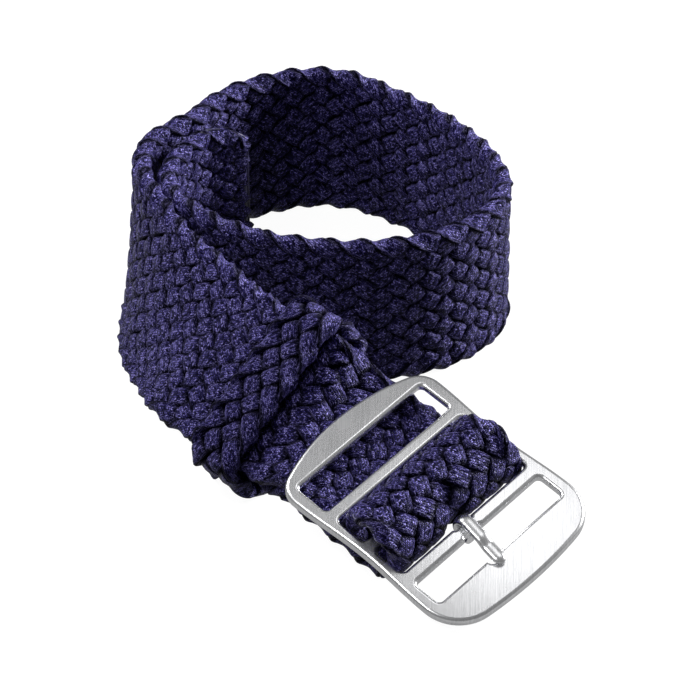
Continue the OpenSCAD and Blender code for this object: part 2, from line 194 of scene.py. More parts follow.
def loopPath():  # from under the plate, up and over the middle bar and back below
    riseRadius, rise = band["rise"]
    fallRadius, fall = band["fall"]
    loop = band["barLoop"]
    riseWay, fallWay = radians(rise), radians(fall)
    riseLength = (loop * cos(riseWay) - upperLevel - riseRadius * (1 - cos(riseWay))) / sin(riseWay)
    fallLength = (-loop * cos(fallWay) - lowerLevel - fallRadius * (1 - cos(fallWay))) / sin(fallWay)
    upper = band["underTail"] - loop * sin(riseWay) - riseLength * cos(riseWay) - riseRadius * sin(riseWay)
    lower = band["underTail"] + loop * sin(fallWay) - fallLength * cos(fallWay) - fallRadius * sin(fallWay)
    states = chain((-band["underTail"], upperLevel, 0),
                   [(0, upper), (riseRadius, -rise), (0, riseLength), (loop, 180 + rise - fall),
                    (0, fallLength), (fallRadius, fall), (0, lower)], 0.2)
    return [(onPlate([0, -x, z]), plateAcross, cos(h) * plateUp + sin(h) * plateAlong)
            for x, z, h in states]


def ringPath():
    x, y, z = band["route"][-1]
    states = chain((x, y, radians(band["ringHeading"])),
                   band["ringBends"] + band["freeBends"] + [(0, band["sealLength"])])
    return [(np.array([x, y, z]), np.array([0, 0, 1.0]), np.array([-sin(h), cos(h), 0]))
            for x, y, h in states]


underPlate, panel, seatFrame, seatWay = panelPath()
seatPlace, seatAcross, seatOut = seatFrame
turnedSteps = 20
turned = [(seatPlace + (band["turnedLength"] + band["sealLength"]) * k / turnedSteps * seatWay, seatAcross,
           seatOut) for k in range(turnedSteps, 0, -1)]
turned += [seatFrame] + underPlate[::-1]
turned = [(p - layerStep * n, w, -n) for p, w, n in turned]
loopStations = loopPath()[::-1]
ringStations = ringPath()
stations = turned[:-1] + loopStations + underPlate[1:] + panel[:-1] + ringStations
bandPlaces, bandWidths, bandNormals = (np.array([s[i] for s in stations]) for i in range(3))
bandSteps = np.linalg.norm(np.diff(bandPlaces, axis=0), axis=1)
bandAlong = np.concatenate([[0], np.cumsum(bandSteps)])
bandLength = bandAlong[-1]
ringFrom = bandAlong[len(stations) - len(ringStations)]


def onStretch(s, start, end, ease):  # one between two lengths past the ring's start, easing to nought outside
    share = np.clip(np.minimum(s - ringFrom - start, ringFrom + end - s) / ease + 1, 0, 1)
    return share * share * (3 - 2 * share)


bandPlaces[:, 2] += band["ringSpread"] * band["width"] / 2 * onStretch(bandAlong, *band["spreadFrom"])
bandPlaces[:, 1] -= band["frontSag"] * onStretch(bandAlong, *band["sagFrom"])
barAt = bandAlong[len(turned) - 1 + len(loopStations) // 2]
print("band's mid-line: %.1f mm long, the ring from %.1f mm" % (bandLength, ringFrom))


def onBand(s):
    def between(values):
        return np.stack([np.interp(s, bandAlong, values[:, i]) for i in range(3)], axis=1)
    return between(bandPlaces), unit(between(bandWidths)), unit(between(bandNormals))


# ---- a flat plait: every cord zigzags from edge to edge, over one and under one ----


def plaitWave(s, cord, plait):
    reach, pitchAlong, cords = plait["reach"], plait["pitch"], plait["cords"]
    gap = 4 * reach / cords  # between crossings on one cord
    turn = 2 * pi * (s / (cords * pitchAlong) - cord / cords)
    zigzag = np.arcsin(np.sin(turn)) * 2 / pi
    rounding = plait["rounding"]
    past = np.clip(np.abs(zigzag) - (1 - rounding), 0, None)
    y = reach * (zigzag - np.sign(zigzag) * past ** 2 / (2 * rounding)) / (1 - rounding / 2)
    rising = np.where(np.cos(turn) > 0, 1.0, -1.0)
    even = reach * zigzag  # crossings lie evenly along the unrounded zigzag
    low = reach + even
    high = reach - even
    height = -np.cos(2 * pi * high / gap)
    height = np.where(high < gap / 2, np.sin(pi * high / gap), height)
    height = np.where(low < gap / 2, -np.sin(pi * low / gap), height)
    atEdge = np.minimum(low, high) < gap / 2
    # the flat cord rolls over at the edge, from facing out through the edge to facing in
    facing = np.where(atEdge, np.where(high < low, height, -height), 1.0) * rising
    rolling = np.where(atEdge, np.sqrt(np.clip(1 - height ** 2, 0, 1)), 0.0)
    surfaced = np.where(atEdge, 1.0, np.abs(height))
    flatness = plait["flatness"]
    raised = rising * np.where(atEdge, height, np.tanh(flatness * height) / tanh(flatness))
    return y, raised, surfaced, facing, rolling


handmade = {  # wavelengths along the strap, and how far the cords stray
    "slideEvery": 7.3,
    "riseEvery": 3.1,
    "riseShare": 0.08,
    "swayEvery": 2.3,
    "sway": 0.05,
}


def plaitPaths(plait, start, end, place, squeeze=None, yieldTo=None):
    rng = np.random.default_rng(plait["seed"])
    s = np.linspace(start, end, ceil((end - start) / plait["step"]) + 1)
    p, w, n = place(s)
    paths = []
    for cord in range(plait["cords"]):
        wander = rng.uniform(0, 2 * pi, 4)
        slid = s + plait["wander"] * np.sin(s / handmade["slideEvery"] + wander[0])
        y, h, surfaced, facing, rolling = plaitWave(slid, cord, plait)
        h = plait["rise"] * h * (1 + handmade["riseShare"] * np.sin(s / handmade["riseEvery"] + wander[1]))
        y = y + handmade["sway"] * np.sin(s / handmade["swayEvery"] + wander[2])
        if squeeze is not None:
            widthShare, riseShare = squeeze(s)
            y, h = y * widthShare, h * riseShare
        points = p + y[:, None] * w + h[:, None] * n
        if yieldTo is not None:
            points = yieldTo(points)
        t = unit(np.gradient(points, axis=0))
        normals = facing[:, None] * n + rolling[:, None] * w
        normals = unit(normals - np.sum(normals * t, axis=1)[:, None] * t)
        paths.append((points, normals, np.ones(len(s)), surfaced))
    return paths


# ---- nodes: one helper, the sweep tree and the run of it ----


def addNode(tree, kind, inputs=None, **settings):
    node = tree.nodes.new(kind)
    for key, value in settings.items():
        setattr(node, key, value)
    for key, value in (inputs or {}).items():
        socket = node.inputs[key]
        if isinstance(value, bpy.types.NodeSocket):
            tree.links.new(value, socket)
        else:
            socket.default_value = value
    return node


def sweepTree():
    tree = bpy.data.node_groups.new("sweep along paths", "GeometryNodeTree")
    sockets = [("Geometry", "NodeSocketGeometry"), ("Half width", "NodeSocketFloat"),
               ("Half height", "NodeSocketFloat"), ("Roundness", "NodeSocketFloat"),
               ("Sides", "NodeSocketInt"), ("Material", "NodeSocketMaterial")]
    for name, kind in sockets:
        tree.interface.new_socket(name, in_out="INPUT", socket_type=kind)
    tree.interface.new_socket("Geometry", in_out="OUTPUT", socket_type="NodeSocketGeometry")
    given = addNode(tree, "NodeGroupInput").outputs
    curve = addNode(tree, "GeometryNodeMeshToCurve", {"Mesh": given["Geometry"]})
    out = addNode(tree, "GeometryNodeInputNamedAttribute", {"Name": "pathNormal"}, data_type="FLOAT_VECTOR")
    turned = addNode(tree, "GeometryNodeSetCurveNormal",
                     {"Curve": curve.outputs[0], "Normal": out.outputs[0]}, mode="FREE")
    size = addNode(tree, "GeometryNodeInputNamedAttribute", {"Name": "pathRadius"}, data_type="FLOAT")
    length = addNode(tree, "GeometryNodeSplineParameter")
    measured = addNode(tree, "GeometryNodeStoreNamedAttribute",
                       {"Geometry": turned.outputs[0], "Name": "alongCord", "Value": length.outputs["Length"]},
                       data_type="FLOAT", domain="POINT")
    circle = addNode(tree, "GeometryNodeCurvePrimitiveCircle", {"Resolution": given["Sides"], "Radius": 1.0})
    place = addNode(tree, "GeometryNodeInputPosition")
    marked = addNode(tree, "GeometryNodeStoreNamedAttribute",
                     {"Geometry": circle.outputs[0], "Name": "roundCord", "Value": place.outputs[0]},
                     data_type="FLOAT_VECTOR", domain="POINT")
    sign = addNode(tree, "ShaderNodeVectorMath", {0: place.outputs[0]}, operation="SIGN")
    size3 = addNode(tree, "ShaderNodeVectorMath", {0: place.outputs[0]}, operation="ABSOLUTE")
    squared = addNode(tree, "ShaderNodeVectorMath",
                      {0: size3.outputs[0], 1: given["Roundness"]}, operation="POWER")
    signed = addNode(tree, "ShaderNodeVectorMath", {0: squared.outputs[0], 1: sign.outputs[0]},
                     operation="MULTIPLY")
    halves = addNode(tree, "ShaderNodeCombineXYZ", {"X": given["Half height"], "Y": given["Half width"]})
    oval = addNode(tree, "ShaderNodeVectorMath", {0: signed.outputs[0], 1: halves.outputs[0]},
                   operation="MULTIPLY")
    profile = addNode(tree, "GeometryNodeSetPosition",
                      {"Geometry": marked.outputs[0], "Position": oval.outputs[0]})
    swept = addNode(tree, "GeometryNodeCurveToMesh",
                    {"Curve": measured.outputs[0], "Profile Curve": profile.outputs[0],
                     "Scale": size.outputs[0], "Fill Caps": True})
    smooth = addNode(tree, "GeometryNodeSetShadeSmooth", {"Geometry": swept.outputs[0]})
    real = addNode(tree, "GeometryNodeRealizeInstances", {"Geometry": smooth.outputs[0]})
    dressed = addNode(tree, "GeometryNodeSetMaterial",
                      {"Geometry": real.outputs[0], "Material": given["Material"]})
    addNode(tree, "NodeGroupOutput", {"Geometry": dressed.outputs[0]})
    return tree


sweeper = sweepTree()


def setAttribute(mesh, name, values):
    kind, key = ("FLOAT", "value") if np.ndim(values) == 1 else ("FLOAT_VECTOR", "vector")
    mesh.attributes.new(name, kind, "POINT").data.foreach_set(key, np.ravel(values))


def sweep(name, paths, profile, material):  # paths are (points, normals, radii, surfaced)
    points, normals, radii, surfaced = (np.concatenate([path[i] for path in paths]) for i in range(4))
    edges, first = [], 0
    for path in paths:
        edges += [(first + i, first + i + 1) for i in range(len(path[0]) - 1)]
        first += len(path[0])
    lines = bpy.data.meshes.new(name + " paths")
    lines.from_pydata((points * mm).tolist(), edges, [])
    ways = np.concatenate([unit(np.gradient(path[0], axis=0)) for path in paths])
    for attribute, values in (("pathNormal", normals), ("pathRadius", radii), ("atSurface", surfaced),
                              ("cordWay", ways)):
        setAttribute(lines, attribute, values)
    carrier = bpy.data.objects.new(name + " paths", lines)
    bpy.context.scene.collection.objects.link(carrier)
    runs = carrier.modifiers.new("sweep", "NODES")
    runs.node_group = sweeper
    values = {"Half width": profile["width"] / 2 * mm, "Half height": profile["height"] / 2 * mm,
              "Roundness": profile.get("roundness", 1.0), "Sides": profile["sides"], "Material": material}
    for item in sweeper.interface.items_tree:
        if item.name in values:
            runs[item.identifier] = values[item.name]
    mesh = bpy.data.meshes.new_from_object(carrier.evaluated_get(bpy.context.evaluated_depsgraph_get()))
    bpy.data.objects.remove(carrier)
    return addPiece(name, mesh, material)


def addPiece(name, mesh, material):
    mesh.name = name
    mesh.materials.clear()
    mesh.materials.append(material)
    piece = bpy.data.objects.new(name, mesh)
    bpy.context.scene.collection.objects.link(piece)
    triangles = sum(len(p.vertices) - 2 for p in mesh.polygons)
    print("%s: %d triangles" % (name, triangles))
    return piece


# ---- materials ----


def colour(code):  # sRGB hex to linear
    parts = [int(code[i:i + 2], 16) / 255 for i in (1, 3, 5)]
    return tuple(c / 12.92 if c <= 0.04045 else ((c + 0.055) / 1.055) ** 2.4 for c in parts) + (1,)


def newMaterial(name):
    material = bpy.data.materials.new(name)
    material.use_nodes = True
    material.node_tree.nodes.clear()
    return material, material.node_tree


def maths(tree, operation, a, b=0.0):
    return addNode(tree, "ShaderNodeMath", {0: a, 1: b}, operation=operation).outputs[0]


def ramp(tree, factor, stops):
    node = addNode(tree, "ShaderNodeValToRGB", {"Fac": factor})
    while len(node.color_ramp.elements) < len(stops):
        node.color_ramp.elements.new(0.5)
    for element, (place, code) in zip(node.color_ramp.elements, stops):
        element.position = place
        element.color = colour(code)
    return node.outputs["Color"]


nylonLook = {
    "stitchLength": 0.2,  # mm along the cord
    "halfWales": 36,  # slanted columns of stitches round the cord
    "slant": 0.9,
    "unevenness": 0.5,
    # dark, body and lit run from painted shade to painted highlight on the knit; dark also tints random darker
    # patches
    "dark": "#010108",
    "body": "#0f0a3a",
    "lit": "#4034b8",
    # colour of the painted highlight on a few stitches
    "paintedGlint": "#bdb4ff",
    "bump": 0.8,
    "shine": 0.9,
    "shineTint": "#9d95ff",
}


# Dyed nylon cord with a knitted sleeve: dark navy herringbone stitches, a few of them with a pale glint painted
# into the colour.
def knittedNylon(name, look):
    material, tree = newMaterial(name)
    along = addNode(tree, "ShaderNodeAttribute", attribute_name="alongCord").outputs["Fac"]
    around = addNode(tree, "ShaderNodeAttribute", attribute_name="roundCord").outputs["Vector"]
    split = addNode(tree, "ShaderNodeSeparateXYZ", {0: around})
    place = addNode(tree, "ShaderNodeTexCoord").outputs["Object"]
    uneven = addNode(tree, "ShaderNodeTexNoise", {"Vector": place, "Scale": 2600.0, "Detail": 2.0})
    stray = addNode(tree, "ShaderNodeSeparateXYZ", {0: uneven.outputs["Color"]})
    angle = maths(tree, "ARCTAN2", split.outputs["Y"], split.outputs["X"])
    column = maths(tree, "ADD", maths(tree, "MULTIPLY", angle, look["halfWales"] / (2 * pi)),
                   maths(tree, "MULTIPLY", stray.outputs["X"], look["unevenness"]))
    row = maths(tree, "ADD", maths(tree, "MULTIPLY", along, 1 / (look["stitchLength"] * mm)),
                maths(tree, "MULTIPLY", maths(tree, "PINGPONG", column, 1.0), look["slant"]))
    row = maths(tree, "ADD", row, maths(tree, "MULTIPLY", stray.outputs["Y"], look["unevenness"]))
    leg = maths(tree, "ABSOLUTE", maths(tree, "SINE", maths(tree, "MULTIPLY", column, pi)))
    loop = maths(tree, "ABSOLUTE", maths(tree, "SINE", maths(tree, "MULTIPLY", row, pi)))
    knit = maths(tree, "MULTIPLY", maths(tree, "POWER", leg, 0.6), loop)
    cell = addNode(tree, "ShaderNodeCombineXYZ",
                   {"X": maths(tree, "ADD", maths(tree, "FLOOR", column), 0.37),
                    "Y": maths(tree, "ADD", maths(tree, "FLOOR", row), 0.61)})
    chance = addNode(tree, "ShaderNodeTexWhiteNoise", {"Vector": cell.outputs[0]},
                     noise_dimensions="3D").outputs["Value"]
    # painted shade: the cord's flanks, and where it dives under the next one, are darkened in the colour, and
    # their glint and shine are turned down
    side = maths(tree, "POWER", maths(tree, "ABSOLUTE", split.outputs["Y"]), 8.0)
    surfaced = addNode(tree, "ShaderNodeAttribute", attribute_name="atSurface").outputs["Fac"]
    raised = addNode(tree, "ShaderNodeMapRange", {"Value": surfaced, "From Min": 0.1, "From Max": 0.75},
                     interpolation_type="SMOOTHSTEP").outputs[0]
    outsidePaintedShade = maths(tree, "MULTIPLY", raised, maths(tree, "SUBTRACT", 1.0, side))
    # painted light: the middle of each stitch is painted lighter and the gaps between stitches darker, over a
    # random brightness per stitch
    shade = maths(tree, "MULTIPLY", knit, maths(tree, "ADD", 0.35, maths(tree, "MULTIPLY", chance, 0.75)))
    shade = maths(tree, "MULTIPLY", shade, outsidePaintedShade)
    body = ramp(tree, shade, [(0.1, look["dark"]), (0.4, look["body"]), (0.9, look["lit"])])
    patch = addNode(tree, "ShaderNodeTexNoise", {"Vector": place, "Scale": 260.0, "Detail": 2.0})
    patchy = addNode(tree, "ShaderNodeMix", {"Factor": maths(tree, "MULTIPLY", patch.outputs["Fac"], 0.5),
                                             "A": body, "B": colour(look["dark"])}, data_type="RGBA")
    # painted highlight: a pale glint mixed into the colour on a few raised stitch tops
    glint = maths(tree, "MULTIPLY", maths(tree, "POWER", chance, 3.0), maths(tree, "POWER", knit, 2.0))
    glint = maths(tree, "MULTIPLY", glint, outsidePaintedShade)
    tone = addNode(tree, "ShaderNodeMix", {"Factor": glint,
                                           "A": patchy.outputs["Result"], "B": colour(look["paintedGlint"])},
                   data_type="RGBA")
    fuzz = addNode(tree, "ShaderNodeTexNoise", {"Vector": place, "Scale": 9000.0, "Detail": 1.0})
    height = maths(tree, "ADD", knit, maths(tree, "MULTIPLY", fuzz.outputs["Fac"], 0.35))
    bump = addNode(tree, "ShaderNodeBump", {"Height": height, "Strength": look["bump"], "Distance": 0.1 * mm})
    # filaments run along the cord, so its shine is strongest across them
    way = addNode(tree, "ShaderNodeAttribute", attribute_name="cordWay").outputs["Vector"]
    wayHere = addNode(tree, "ShaderNodeVectorTransform", {"Vector": way}, vector_type="VECTOR",
                      convert_from="OBJECT", convert_to="WORLD")
    # the shine is also turned down inside the painted shade
    shine = maths(tree, "MULTIPLY", maths(tree, "ADD", 0.15, maths(tree, "POWER", chance, 2.0)), outsidePaintedShade)
    shader = addNode(tree, "ShaderNodeBsdfPrincipled",
                     {"Base Color": tone.outputs["Result"], "Roughness": 0.4,
                      "Specular IOR Level": maths(tree, "MULTIPLY", shine, look["shine"]),
                      "Specular Tint": colour(look["shineTint"]), "Anisotropic": 0.85,
                      "Tangent": wayHere.outputs[0], "Normal": bump.outputs["Normal"]})
    addNode(tree, "ShaderNodeOutputMaterial", {"Surface": shader.outputs[0]})
    return material


# Nylon melted at a cut end: smooth, slightly grey and lumpy where the cords fused.
def sealedNylon(name):
    material, tree = newMaterial(name)
    place = addNode(tree, "ShaderNodeTexCoord").outputs["Object"]
    lumps = addNode(tree, "ShaderNodeTexNoise", {"Vector": place, "Scale": 1400.0, "Detail": 3.0})
    tone = ramp(tree, lumps.outputs["Fac"], [(0.3, "#0d0a26"), (0.55, "#232047"), (0.75, "#5d5b88")])
    bump = addNode(tree, "ShaderNodeBump", {"Height": lumps.outputs["Fac"], "Strength": 0.5,
                                            "Distance": 0.15 * mm})
    shader = addNode(tree, "ShaderNodeBsdfPrincipled",
                     {"Base Color": tone, "Roughness": 0.42, "Normal": bump.outputs["Normal"]})
    addNode(tree, "ShaderNodeOutputMaterial", {"Surface": shader.outputs[0]})
    return material


# Twisted polyester thread: pale lilac with fine diagonal plies.
def sewingThread(name):
    material, tree = newMaterial(name)
    place = addNode(tree, "ShaderNodeTexCoord").outputs["Object"]
    plies = addNode(tree, "ShaderNodeTexWave", {"Vector": place, "Scale": 900.0, "Distortion": 1.0},
                    bands_direction="DIAGONAL")
    tone = ramp(tree, plies.outputs["Fac"], [(0.0, "#5d5b78"), (1.0, "#b9b8cc")])
    bump = addNode(tree, "ShaderNodeBump", {"Height": plies.outputs["Fac"], "Strength": 0.4,
                                            "Distance": 0.05 * mm})
    shader = addNode(tree, "ShaderNodeBsdfPrincipled",
                     {"Base Color": tone, "Roughness": 0.5, "Normal": bump.outputs["Normal"]})
    addNode(tree, "ShaderNodeOutputMaterial", {"Surface": shader.outputs[0]})
    return material


# Stamped stainless steel: brushed along its faces, with tumbled bright edges.
def brushedSteel(name, lineScale=(14.0, 0.25, 1.0), brushedAt=48):
    material, tree = newMaterial(name)
    place = addNode(tree, "ShaderNodeAttribute", attribute_name="platePlace").outputs["Vector"]
    edge = addNode(tree, "ShaderNodeAttribute", attribute_name="edgeShare").outputs["Fac"]
    slanted = addNode(tree, "ShaderNodeVectorRotate", {"Vector": place, "Angle": radians(brushedAt)},
                      rotation_type="Z_AXIS")
    stretched = addNode(tree, "ShaderNodeVectorMath", {0: slanted.outputs[0], 1: lineScale},
                        operation="MULTIPLY")
    lines = addNode(tree, "ShaderNodeTexNoise", {"Vector": stretched.outputs[0], "Scale": 1.0, "Detail": 2.0,
                                                 "Roughness": 0.6})
    broad = addNode(tree, "ShaderNodeTexNoise", {"Vector": place, "Scale": 0.35, "Detail": 2.0})
    flat = maths(tree, "SUBTRACT", 1.0, edge)
    tone = ramp(tree, lines.outputs["Fac"], [(0.3, "#dadbdd"), (0.7, "#f4f4f6")])
    rough = maths(tree, "ADD", 0.24, maths(tree, "MULTIPLY", broad.outputs["Fac"], 0.06))
    height = maths(tree, "MULTIPLY", lines.outputs["Fac"], flat)
    bump = addNode(tree, "ShaderNodeBump", {"Height": height, "Strength": 0.14, "Distance": 0.02 * mm})
    shader = addNode(tree, "ShaderNodeBsdfPrincipled",
                     {"Base Color": tone, "Metallic": 1.0, "Roughness": rough,
                      "Normal": bump.outputs["Normal"]})
    addNode(tree, "ShaderNodeOutputMaterial", {"Surface": shader.outputs[0]})
    return material


nylon = knittedNylon("dyed nylon cord, knitted sleeve", nylonLook)
sealed = sealedNylon("nylon sealed by heat")
thread = sewingThread("polyester sewing thread")
steel = brushedSteel("stainless steel, brushed with tumbled edges")
print("materials made")

# ---- the band ----

plait = {
    "cords": 15,
    "reach": 9.12,  # of a cord's centre from the mid-line
    "pitch": 4.1,  # between one cord's turn at the edge and the next one's
    "rounding": 0.3,  # share of the half width taken by the turn at the edge
    "rise": 0.54,
    "flatness": 2.6,  # how square the rise over and under is
    "wander": 0.12,
    "step": 0.34,
    "seed": 11,
    "profile": {"width": 2.4, "height": 1.12, "sides": 16, "roundness": 0.56},
}


def endHalf(fromEnd):  # half width at a distance from the rounded end
    length, fall = band["tipCurve"]
    inCurve = np.clip(length - fromEnd, 0, length) / length
    return band["width"] / 2 - fall * (1 - np.sqrt(1 - inCurve ** 2))


def shapeAlong(s):  # the cords draw in and flatten where the ends are sealed, and spread over the bar
    fromEnd = np.minimum(s, bandLength - s)
    flattened = np.clip(fromEnd / band["sealLength"], 0, 1)
    overBar = np.exp(-((s - barAt) / band["loopReach"]) ** 4)
    spread = 1 + band["loopSpread"] * overBar + band["ringSpread"] * onStretch(s, *band["spreadFrom"])
    widthShare = endHalf(fromEnd - band["endInset"]) / (band["width"] / 2) * spread
    sealedRise = band["sealedRise"]
    return widthShare, (sealedRise + (1 - sealedRise) * flattened) * (1 - band["loopCalm"] * overBar)


yielding = {
    "halfWidth": 1.5,
    "depth": 2.5,  # over which it grows, from the middle bar towards the tongue
    "within": 5.2,  # of the middle bar's centre line
    "share": 0.2,
}


def yieldToTongue(points):  # the cords give way to the tongue's curl beside the loop
    local = (points - plateCentre) @ plateAxes.T
    radius = np.hypot(local[:, 1], local[:, 2])
    beside = np.exp(-((local[:, 0] - buckle["tongueAt"]) / yielding["halfWidth"]) ** 4)
    facing = np.clip(-local[:, 1] / yielding["depth"], 0, 1)
    share = 1 - np.where(radius < yielding["within"], yielding["share"] * beside * facing, 0)
    local[:, 1:] *= share[:, None]
    return onPlate(local)


def plaitPiece(name, start, end, nodes):
    paths = plaitPaths(plait, start, end, onBand, shapeAlong, yieldToTongue)
    piece = sweep(name, paths, plait["profile"], nylon)
    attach(piece, "strap_body")
    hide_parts(*nodes)
    return piece


cordsStart, cordsOverlap = 0.5, 0.2  # from each end, and where the two stretches meet
plaitPiece("panel_and_loop_plait", cordsStart, ringFrom, ("turned_end", "strap_loop", "strap_panel"))
plaitPiece("ring_and_free_end_plait", ringFrom - cordsOverlap, bandLength - cordsStart,
           ("strap_wall", "strap_free_end"))

# ---- plates with rounded edges ----


def arcPoints(cx, cy, r, a0, a1, count):
    turns = [radians(a0 + (a1 - a0) * i / count) for i in range(count + 1)]
    return [(cx + r * cos(a), cy + r * sin(a)) for a in turns]


def contourNormals(points):  # into the metal, which lies on the left of each contour
    ahead = np.roll(points, -1, axis=0) - points
    lead = unit(np.stack([-ahead[:, 1], ahead[:, 0]], axis=1))
    mean = unit(lead + np.roll(lead, 1, axis=0))
    return mean / np.maximum(0.5, np.sum(mean * lead, axis=1))[:, None]


def roundedPlate(name, contours, halfHeight, edgeRadius, edgeWidth, toFrame, turnToFrame, material, bow=0.0):
    edgeSteps, bowSpan = 6, 15
    steps = [pi / 2 * (1 - k / edgeSteps) for k in range(edgeSteps + 1)]
    levels = [(a, halfHeight - edgeRadius + edgeRadius * sin(a)) for a in steps]
    levels += [(-a, -(halfHeight - edgeRadius) - edgeRadius * sin(a)) for a in steps[::-1]]
    places, normals, shares, faces = [], [], [], []
    starts = []
    for contour in contours:
        points = np.array(contour, float)
        inward = contourNormals(points)
        outward = -unit(inward)
        first = len(places)
        starts.append((first, len(points)))
        for a, z in levels:
            inset = edgeWidth * (1 - cos(a))
            flatter = edgeRadius / edgeWidth
            for point, into, out in zip(points, inward, outward):
                x, y = point + inset * into
                places.append((x, y, z))
                normals.append((flatter * out[0] * cos(a) + bow * x / bowSpan,
                                flatter * out[1] * cos(a) + bow * y / bowSpan, sin(a)))
                shares.append(cos(a))
        count = len(points)
        for level in range(len(levels) - 1):
            for i in range(count):
                j = (i + 1) % count
                upper, lower = first + level * count, first + (level + 1) * count
                faces.append((upper + j, upper + i, lower + i, lower + j))
    for level, flip in ((0, False), (len(levels) - 1, True)):
        indices = [first + level * count + i for first, count in starts for i in range(count)]
        loops = [[Vector(places[first + level * count + i]) for i in range(count)] for first, count in starts]
        for triangle in tessellate_polygon(loops):
            corners = [indices[i] for i in triangle]
            (ax, ay, _), (bx, by, _), (cx, cy, _) = (places[i] for i in corners)
            upward = (bx - ax) * (cy - ay) - (by - ay) * (cx - ax) > 0
            faces.append(corners if upward != flip else corners[::-1])
    mesh = bpy.data.meshes.new(name)
    mesh.from_pydata((toFrame(np.array(places)) * mm).tolist(), [], faces)
    setAttribute(mesh, "platePlace", np.array(places))
    setAttribute(mesh, "edgeShare", np.array(shares))
    mesh.polygons.foreach_set("use_smooth", [True] * len(mesh.polygons))
    mesh.normals_split_custom_set_from_vertices(unit(turnToFrame(np.array(normals))).tolist())
    return addPiece(name, mesh, material)


def outlineContour():
    railHalf, tail, tip = buckle["railHalf"], buckle["tailCorner"], buckle["tipCorner"]
    tailSpan, tipSpan = buckle["tailCrown"] - tail, buckle["tipCrown"] - tip
    tailX, tipX = railHalf - tail, railHalf - tip
    tailBase, tipBase = buckle["tailFar"] - buckle["tailCrown"], buckle["tipCrown"] - buckle["tipFar"]
    tailY, tipY = tailBase + sqrt(tailSpan ** 2 - tailX ** 2), tipBase - sqrt(tipSpan ** 2 - tipX ** 2)
    tailTurn, tipTurn = acos(tailX / tailSpan) * 180 / pi, acos(tipX / tipSpan) * 180 / pi
    count = 30  # places on the waisted side
    side = [(railHalf - buckle["waistDepth"] * (1 - cos(2 * pi * k / count)) / 2,
             tipY + (tailY - tipY) * k / count) for k in range(1, count)]
    right = arcPoints(0, tipBase, buckle["tipCrown"], -90, -tipTurn, 12)[1:-1]
    right += arcPoints(tipX, tipY, tip, -tipTurn, 0, 14)
    right += side
    right += arcPoints(tailX, tailY, tail, 0, tailTurn, 12)
    right += arcPoints(0, tailBase, buckle["tailCrown"], tailTurn, 90, 14)[1:-1]
    return right + [(0, buckle["tailFar"])] + [(-x, y) for x, y in right[::-1]] + [(0, -buckle["tipFar"])]


def slotContour(low, high, lowSide=(), highSide=()):  # runs clockwise, with the metal on its left
    half, r = buckle["slotHalf"], buckle["slotCorner"]
    around = arcPoints(r - half, low + r, r, 180, 270, 5) + list(lowSide)
    around += arcPoints(half - r, low + r, r, 270, 360, 5)
    around += arcPoints(half - r, high - r, r, 0, 90, 5) + list(highSide)
    around += arcPoints(r - half, high - r, r, 90, 180, 5)
    return around[::-1]


def neckSide(edge, depth):  # the bar is cut in to a neck on each side of the tongue, from left to right
    at, half = buckle["tongueAt"], buckle["neckHalf"]
    ease = [(0, 0), (0.12, 0.1), (0.24, 0.5), (0.36, 0.9), (0.48, 1)]
    left = [(at - half + x, edge + depth * y) for x, y in ease]
    return left + [(2 * at - x, y) for x, y in left[::-1]]


def platePiece():
    b = buckle
    pivot = (b["barNear"] + b["tongueFar"]) / 2
    depth = (b["tongueFar"] - b["barNear"] - b["neckWidth"]) / 2
    reach = b["tipNear"] - pivot + b["tipReach"]
    notchX = b["tongueAt"] - reach * sin(radians(b["tongueSkew"]))
    notch = arcPoints(notchX, -b["tipNear"], b["notchRadius"], 180, 360, 12)
    contours = [
        outlineContour(),
        slotContour(b["middleHalf"], b["barNear"]),
        slotContour(b["firstFar"], b["tailNear"]),
        slotContour(-b["barNear"], -b["middleHalf"], lowSide=neckSide(-b["barNear"], -depth)),
        slotContour(-b["tipNear"], -b["tongueFar"], lowSide=notch,
                    highSide=neckSide(-b["tongueFar"], depth)[::-1]),
    ]
    plate = roundedPlate("buckle_plate_stamped", contours, b["plateThick"] / 2, b["edgeRadius"],
                         b["edgeWidth"], onPlate, lambda v: v @ plateAxes, steel, b["bow"])
    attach(plate, "buckle_body")
    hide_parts("buckle_plate")


platePiece()

# ---- the tongue: one bent strip, curled round its neck of the bar ----

tongue = {
    "profile": {"width": 1.66, "height": 0.84, "sides": 24, "roundness": 0.92},
    "curlRadius": 1.402,
    "curlFrom": -210,
    "drop": 0.352,
    "length": 6.415,
    "tipLength": 1.1,  # over which the tip rounds off
    "dipStart": 2.245,
    "dipEnd": 3.849,
    "edgeShare": 0.5,  # half brushed, half tumbled
}


